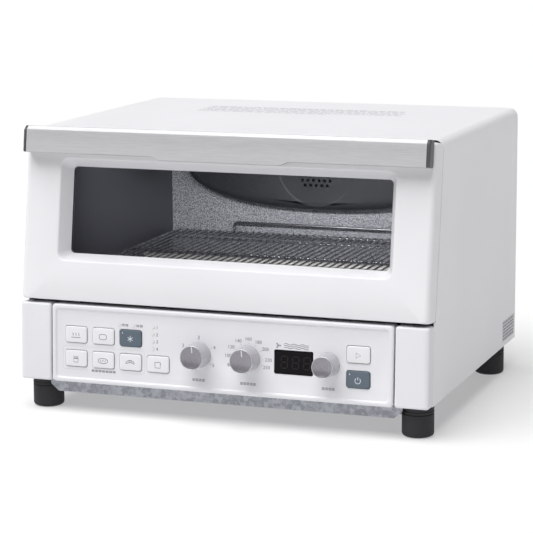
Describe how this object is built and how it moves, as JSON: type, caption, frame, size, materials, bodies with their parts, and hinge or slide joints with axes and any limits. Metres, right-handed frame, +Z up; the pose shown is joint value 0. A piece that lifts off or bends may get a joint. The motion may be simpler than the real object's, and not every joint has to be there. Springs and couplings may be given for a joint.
{
  "type": "toaster oven",
  "caption": "Countertop convection toaster oven with a leaning drop-down glass door over a control panel with buttons and dials, wire rack, fan, quartz heaters and crumb tray.",
  "frame": {"origin": "on the floor, under the middle of the bounding box", "axes": "+X to the oven's right as seen from the front, +Y to its back, +Z up; the door faces -Y"},
  "size_m": [0.355, 0.3158, 0.239],
  "materials": {
    "white_steel": "satin white powder coat",
    "white_plastic": "semi-gloss white moulding",
    "white_key": "smooth white moulding",
    "slate_key": "smooth slate grey moulding",
    "silver": "satin silver",
    "dark_plastic": "fine matt dark grey",
    "rubber": "matt black",
    "window_glass": "clear tempered glass",
    "display": "glossy near-black lens",
    "dark_steel": "dark grey heat-resistant enamel",
    "plain_steel": "galvanised or aluminised sheet",
    "chromed_wire": "bright plated wire",
    "quartz": "frosted quartz tube",
    "ceramic": "matt steatite",
    "board": "green solder mask",
    "lamp": "milky light guide"
  },
  "bodies": {
    "oven": {"cabinet_shell": "white_steel", "corner_cover_left": "white_plastic", "corner_cover_right": "white_plastic", "control_bezel": "white_plastic", "foot_front_left": "rubber", "foot_front_right": "rubber", "foot_rear_left": "rubber", "foot_rear_right": "rubber", "cord_inlet_bush": "rubber", "display_window": "display", "chamber_wall_left": "dark_steel", "chamber_wall_right": "dark_steel", "chamber_roof": "dark_steel", "fan_cover": "dark_steel", "front_frame": "dark_steel", "rear_panel": "plain_steel", "base_plate": "plain_steel", "chamber_back": "plain_steel", "heat_shield": "plain_steel", "rack_rail_left": "plain_steel", "rack_rail_right": "plain_steel", "fan_motor": "plain_steel", "hinge_arm_left": "plain_steel", "hinge_arm_right": "plain_steel", "heater_lower_front": "quartz", "heater_lower_rear": "quartz", "heater_upper_front": "quartz", "heater_upper_rear": "quartz", "heater_holder_lower_left": "ceramic", "heater_holder_lower_right": "ceramic", "heater_holder_upper_left": "ceramic", "heater_holder_upper_right": "ceramic", "circuit_board": "board", "light_guide_level": "lamp", "light_guide_heat": "lamp"},
    "door": {"door_frame": "white_plastic", "door_glass": "window_glass", "door_liner": "plain_steel", "handle_bar": "silver", "handle_cap_left": "dark_plastic", "handle_cap_right": "dark_plastic", "hinge_pin_left": "plain_steel", "hinge_pin_right": "plain_steel"},
    "rack": {"wire_rack": "chromed_wire"},
    "tray": {"crumb_tray": "plain_steel"},
    "fan": {"fan_wheel": "plain_steel", "fan_shaft": "plain_steel"},
    "button_top_heat_key": {"button_top_heat": "white_key"},
    "button_bottom_heat_key": {"button_bottom_heat": "white_key"},
    "button_fan_mode_key": {"button_fan_mode": "slate_key"},
    "button_toast_key": {"button_toast": "white_key"},
    "button_frozen_toast_key": {"button_frozen_toast": "white_key"},
    "button_reheat_key": {"button_reheat": "white_key"},
    "button_light_toast_key": {"button_light_toast": "white_key"},
    "button_start_key": {"button_start": "white_key"},
    "button_power_key": {"button_power": "slate_key"},
    "browning_knob_dial": {"browning_knob": "silver"},
    "temperature_knob_dial": {"temperature_knob": "silver"},
    "timer_knob_dial": {"timer_knob": "silver"}
  },
  "joints": [
    {"name": "door_hinge", "type": "hinge", "parent": "oven", "child": "door", "pos_m": [0, -0.1354, 0.09785], "axis": [1, 0, 0], "range_deg": [0, 98.7]},
    {"name": "rack_slide", "type": "slide", "parent": "oven", "child": "rack", "axis": [0, -1, 0], "range_m": [0, 0.038]},
    {"name": "crumb_tray_slide", "type": "slide", "parent": "oven", "child": "tray", "axis": [0, -1, 0], "range_m": [0, 0.2]},
    {"name": "fan_spin", "type": "hinge", "parent": "oven", "child": "fan", "pos_m": [0, 0.12765, 0.182], "axis": [0, -1, 0], "continuous": true},
    {"name": "top_heat_press", "type": "slide", "parent": "oven", "child": "button_top_heat_key", "axis": [0, 0.999, -0.0454], "range_m": [0, 0.001], "stiffness_N_per_m": 800, "springref_m": -0.0002},
    {"name": "bottom_heat_press", "type": "slide", "parent": "oven", "child": "button_bottom_heat_key", "axis": [0, 0.999, -0.0454], "range_m": [0, 0.001], "stiffness_N_per_m": 800, "springref_m": -0.0002},
    {"name": "fan_mode_press", "type": "slide", "parent": "oven", "child": "button_fan_mode_key", "axis": [0, 0.999, -0.0454], "range_m": [0, 0.001], "stiffness_N_per_m": 800, "springref_m": -0.0002},
    {"name": "toast_press", "type": "slide", "parent": "oven", "child": "button_toast_key", "axis": [0, 0.999, -0.0454], "range_m": [0, 0.001], "stiffness_N_per_m": 800, "springref_m": -0.0002},
    {"name": "frozen_toast_press", "type": "slide", "parent": "oven", "child": "button_frozen_toast_key", "axis": [0, 0.999, -0.0454], "range_m": [0, 0.001], "stiffness_N_per_m": 800, "springref_m": -0.0002},
    {"name": "reheat_press", "type": "slide", "parent": "oven", "child": "button_reheat_key", "axis": [0, 0.999, -0.0454], "range_m": [0, 0.001], "stiffness_N_per_m": 800, "springref_m": -0.0002},
    {"name": "light_toast_press", "type": "slide", "parent": "oven", "child": "button_light_toast_key", "axis": [0, 0.999, -0.0454], "range_m": [0, 0.001], "stiffness_N_per_m": 800, "springref_m": -0.0002},
    {"name": "start_press", "type": "slide", "parent": "oven", "child": "button_start_key", "axis": [0, 0.999, -0.0454], "range_m": [0, 0.001], "stiffness_N_per_m": 800, "springref_m": -0.0002},
    {"name": "power_press", "type": "slide", "parent": "oven", "child": "button_power_key", "axis": [0, 0.999, -0.0454], "range_m": [0, 0.001], "stiffness_N_per_m": 800, "springref_m": -0.0002},
    {"name": "browning_turn", "type": "hinge", "parent": "oven", "child": "browning_knob_dial", "pos_m": [-0.017, -0.14194, 0.0576], "axis": [0, -0.999, 0.0454], "range_deg": [-125, 125]},
    {"name": "temperature_turn", "type": "hinge", "parent": "oven", "child": "temperature_knob_dial", "pos_m": [0.026, -0.14194, 0.0576], "axis": [0, -0.999, 0.0454], "range_deg": [-115, 115]},
    {"name": "timer_turn", "type": "hinge", "parent": "oven", "child": "timer_knob_dial", "pos_m": [0.0945, -0.14194, 0.0576], "axis": [0, -0.999, 0.0454], "continuous": true}
  ],
  "couplings": [
    {"joint": "rack_slide", "follows": "door_hinge", "m_per_rad": 0.022}
  ]
}
